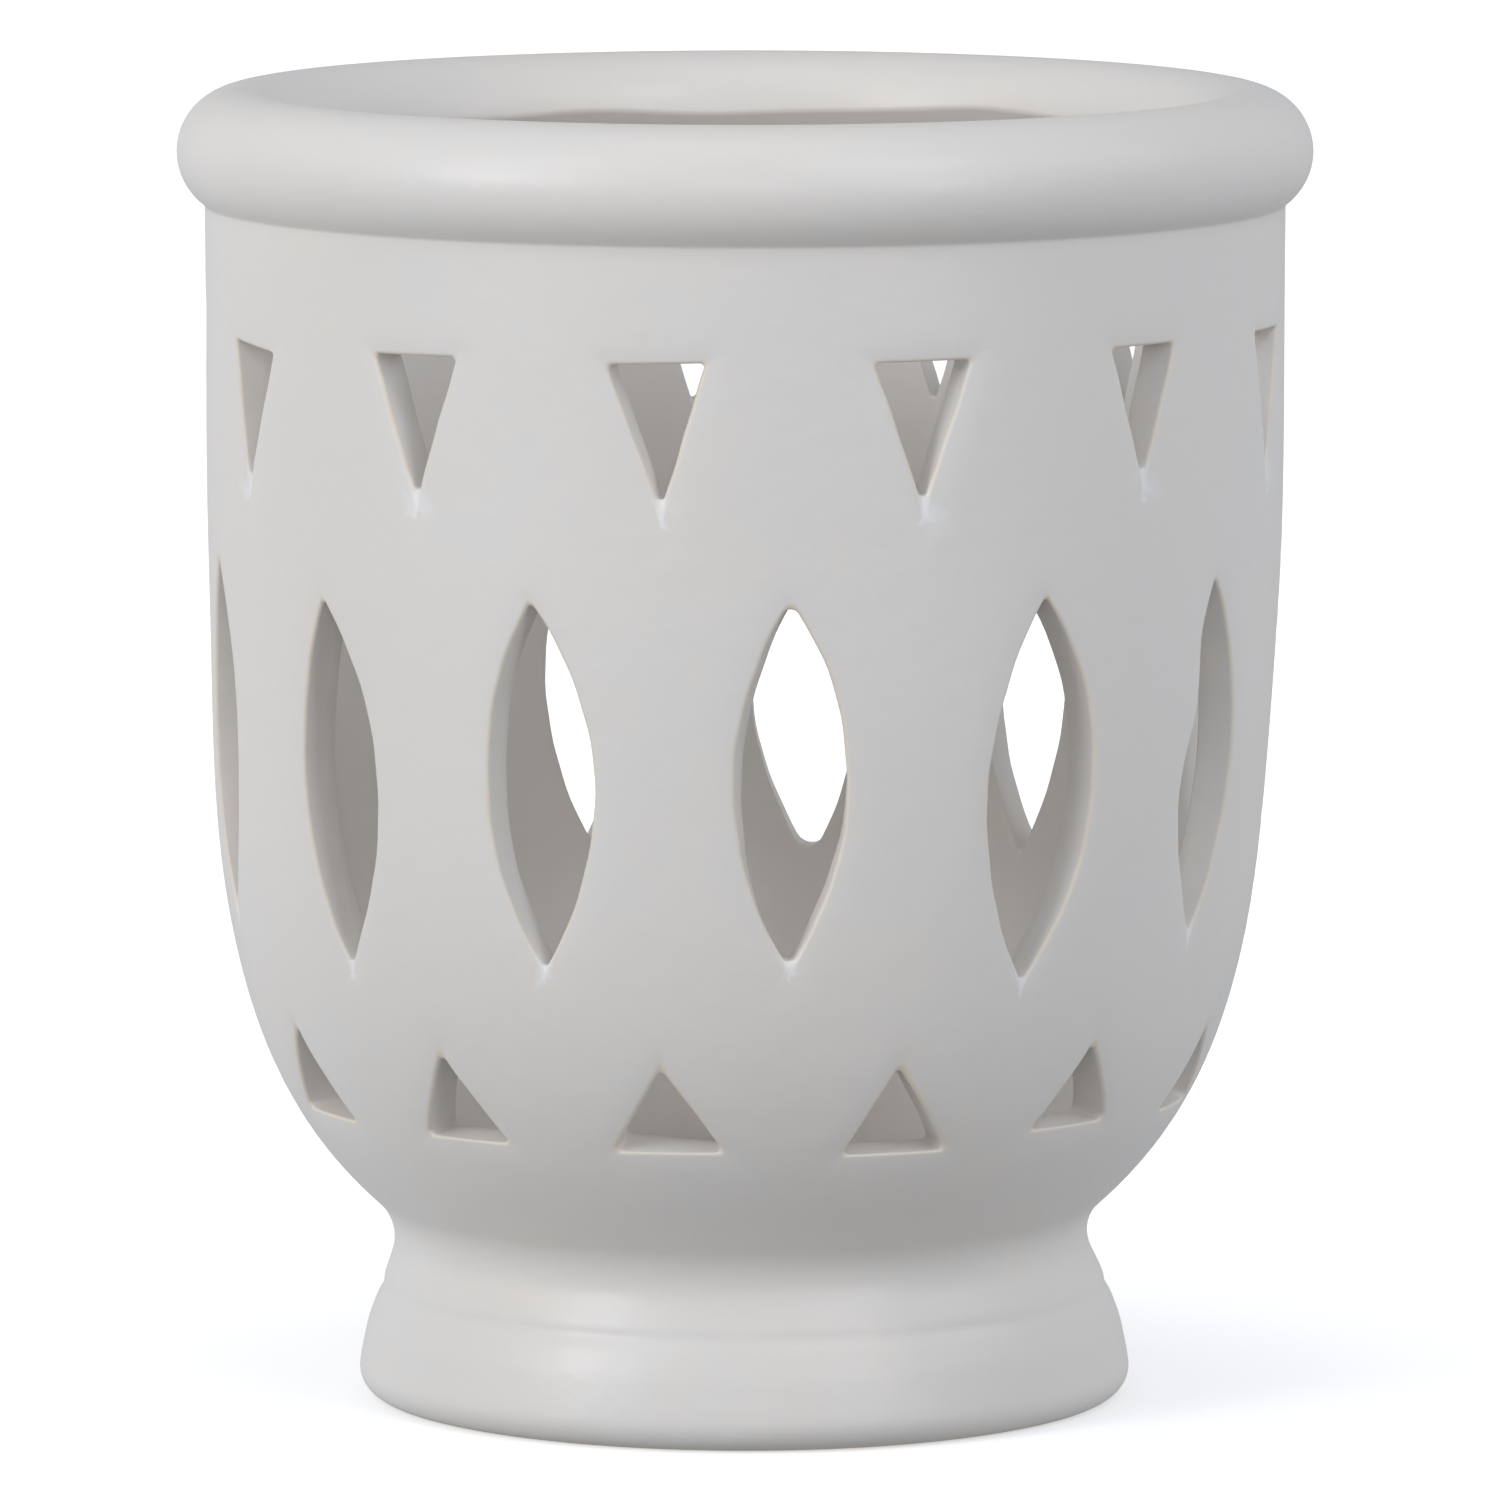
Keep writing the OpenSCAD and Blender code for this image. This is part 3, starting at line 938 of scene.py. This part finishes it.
def metal_material(name, dark, light, low, high, grain):
    """Thin pressed metal: slightly cloudy, with marks that run round the piece."""
    material, tree, shader = new_material(name)
    cloud = remap(tree, noise(tree, 140, 3), 0.3, 0.7, 0, 1)
    plug(tree, shader.inputs["Base Color"], blend(tree, cloud, dark, light))
    shader.inputs["Metallic"].default_value = 1
    plug(tree, shader.inputs["Roughness"], remap(tree, noise(tree, grain, 4, 0.6), 0.3, 0.7, low, high))
    spot = node(tree, "ShaderNodeTexCoord").outputs["Object"]
    place = node(tree, "ShaderNodeSeparateXYZ", Vector=spot).outputs
    level = calculate(tree, "MULTIPLY", place["Z"], 20)
    lines = node(tree, "ShaderNodeCombineXYZ", X=place["X"], Y=place["Y"], Z=level).outputs[0]
    marks = node(tree, "ShaderNodeTexNoise", Vector=lines, Scale=380, Detail=3, Roughness=0.6).outputs["Fac"]
    plug(tree, shader.inputs["Normal"], bump(tree, marks, 0.12, 0.00005))
    return material


def aluminium_material():
    dark, light = (0.80, 0.805, 0.815, 1), (0.88, 0.88, 0.885, 1)
    return metal_material("pressed_aluminium", dark, light, 0.2, 0.34, 420)


def tinned_material():
    dark, light = (0.62, 0.62, 0.61, 1), (0.74, 0.735, 0.72, 1)
    return metal_material("tinned_plate", dark, light, 0.25, 0.42, 900)


def wax_material():
    """White paraffin wax, clear enough for light to spread a little way inside."""
    material, tree, shader = new_material("paraffin_wax")
    cloud = remap(tree, noise(tree, 160, 3), 0.35, 0.65, 0, 1)
    dark, light = (0.86, 0.845, 0.81, 1), (0.90, 0.89, 0.865, 1)
    plug(tree, shader.inputs["Base Color"], blend(tree, cloud, dark, light))
    plug(tree, shader.inputs["Roughness"], remap(tree, noise(tree, 300, 3), 0.3, 0.7, 0.3, 0.48))
    shader.inputs["IOR"].default_value = 1.44
    shader.inputs["Subsurface Weight"].default_value = 0.6
    shader.inputs["Subsurface Radius"].default_value = (1, 0.8, 0.6)
    shader.inputs["Subsurface Scale"].default_value = 0.002
    skin = bump(tree, noise(tree, 420, 3), 0.15, 0.0003)
    plug(tree, shader.inputs["Normal"], bump(tree, noise(tree, 2400, 2), 0.08, 0.00005, skin))
    return material


def cotton_material():
    """Cotton that was dipped in wax before it was cut to length."""
    material, tree, shader = new_material("waxed_cotton")
    fibre = remap(tree, noise(tree, 4200, 4, 0.65), 0.3, 0.7, 0, 1)
    plug(tree, shader.inputs["Base Color"], blend(tree, fibre, (0.70, 0.67, 0.60, 1), (0.86, 0.84, 0.78, 1)))
    plug(tree, shader.inputs["Roughness"], remap(tree, fibre, 0, 1, 0.62, 0.82))
    shader.inputs["Sheen Weight"].default_value = 0.25
    plug(tree, shader.inputs["Normal"], bump(tree, noise(tree, 5200, 3), 0.35, 0.00006))
    return material


# ---------------------------------------------------------------- stage, lights and camera


def look_at(thing, place, target):
    thing.location = place
    thing.rotation_euler = (Vector(target) - Vector(place)).to_track_quat("-Z", "Y").to_euler()


def make_camera():
    """A long lens a little above the holder, looking slightly down on it."""
    width = CAD_BOX[1][0] - CAD_BOX[0][0]
    camera = bpy.data.objects.new("camera", bpy.data.cameras.new("camera"))
    bpy.context.scene.collection.objects.link(camera)
    camera.location = (0, -12 * width, 1.765 * HEIGHT * MM)
    camera.rotation_euler = (math.radians(90 - 7.013), 0, math.radians(-0.021))
    camera.data.sensor_width = 36
    camera.data.lens = 327.9
    bpy.context.scene.camera = camera


def make_softbox(name, turn, rise, distance, size, power, colour):
    """A square softbox that faces the middle of the holder, at an angle round from the front and above it."""
    light = bpy.data.objects.new(name, bpy.data.lights.new(name, "AREA"))
    bpy.context.scene.collection.objects.link(light)
    light.data.shape = "RECTANGLE"
    light.data.size, light.data.size_y = size
    light.data.energy = power
    light.data.color = colour
    turn, rise = math.radians(turn), math.radians(rise)
    middle = Vector((0, 0, HEIGHT * MM / 2))
    level = math.cos(rise)
    direction = Vector((math.sin(turn) * level, -math.cos(turn) * level, math.sin(rise)))
    look_at(light, middle + distance * direction, middle)


# How bright the studio is on each side of the holder. Straight up and down it is dark, but for the softboxes.
SKY_LEFT = 0.65
SKY_RIGHT = 0.45
SKY_FRONT = 0.2
SKY_BACK = 0.5


def make_sky():
    """The studio's light: bright walls at the sides, dimmer ones in front and behind."""
    world = bpy.data.worlds.new("studio")
    bpy.context.scene.world = world
    world.use_nodes = True
    tree = world.node_tree
    tree.nodes.clear()
    output = tree.nodes.new("ShaderNodeOutputWorld")
    background = tree.nodes.new("ShaderNodeBackground")
    direction = node(tree, "ShaderNodeTexCoord").outputs["Generated"]
    parts = node(tree, "ShaderNodeSeparateXYZ", Vector=direction).outputs
    total = remap(tree, parts["X"], 0, 1, 0, SKY_RIGHT)
    others = (parts["X"], -1, SKY_LEFT), (parts["Y"], -1, SKY_FRONT), (parts["Y"], 1, SKY_BACK)
    for part, reach, strength in others:
        total = calculate(tree, "ADD", total, remap(tree, part, 0, reach, 0, strength))
    background.inputs["Color"].default_value = (0.965, 1, 1.06, 1)
    plug(tree, background.inputs["Strength"], total)
    tree.links.new(background.outputs[0], output.inputs[0])


def make_floor():
    """A wide pale floor, level with the bottom of the foot. It glows as painted light, less near the holder
    than further away.
    """
    half = 5.0
    z = CAD_BOX[0][2] / MM
    corners = np.array([[-half, -half, 0], [half, -half, 0], [half, half, 0], [-half, half, 0]]) / MM
    corners[:, 2] = z
    floor = make_mesh("floor", corners, [(0, 1, 2, 3)])
    material, tree, shader = new_material("pale_floor")
    tone = remap(tree, noise(tree, 9, 2), 0.3, 0.7, 0.93, 0.95)
    colour = node(tree, "ShaderNodeCombineColor", Red=tone, Green=tone, Blue=tone)
    plug(tree, shader.inputs["Base Color"], colour.outputs[0])
    shader.inputs["Roughness"].default_value = 0.9
    shader.inputs["Specular IOR Level"].default_value = 0.1
    place = node(tree, "ShaderNodeTexCoord").outputs["Object"]
    away = node(tree, "ShaderNodeVectorMath", operation="LENGTH", Vector=place).outputs["Value"]
    # Painted light: the floor glows, less within a few centimetres of the holder, which leaves it a little
    # darker there.
    glow = remap(tree, away, 0.04, 0.16, 0.36, 0.8)
    glow_colour = node(tree, "ShaderNodeCombineColor", Red=glow, Green=glow, Blue=glow)
    plug(tree, shader.inputs["Emission Color"], glow_colour.outputs[0])
    shader.inputs["Emission Strength"].default_value = 1
    material.cycles.emission_sampling = "NONE"
    floor.data.materials.append(material)
    # The floor is only a backdrop. Light that comes from below reaches the holder from the world instead.
    floor.visible_diffuse = False
    floor.visible_glossy = False
    floor.visible_shadow = False


def make_studio():
    bpy.context.scene.view_settings.view_transform = "Standard"
    make_camera()
    make_sky()
    make_floor()
    make_softbox("key_softbox", -50, 20, 0.9, (0.3, 0.3), 2, (0.99, 1, 1.03))
    make_softbox("high_key_softbox", -50, 45, 0.9, (0.3, 0.3), 0.7, (0.99, 1, 1.03))
    make_softbox("fill_softbox", 35, 45, 0.9, (0.25, 0.3), 1, (0.95, 1, 1.1))
    make_softbox("low_fill_softbox", 35, 15, 0.9, (0.25, 0.3), 1, (0.95, 1, 1.1))
    make_softbox("front_softbox", 0, 16, 1.4, (0.5, 0.4), 1.2, (0.96, 1, 1.06))
    make_softbox("side_softbox", 85, 30, 0.9, (0.4, 0.4), 0.5, (0.94, 1, 1.1))
    make_softbox("top_softbox", 0, 85, 0.7, (0.4, 0.4), 0.4, (0.96, 1, 1.06))


make_studio()
make_vessel()
make_cup()
make_wax()
make_sustainer()
make_wick()
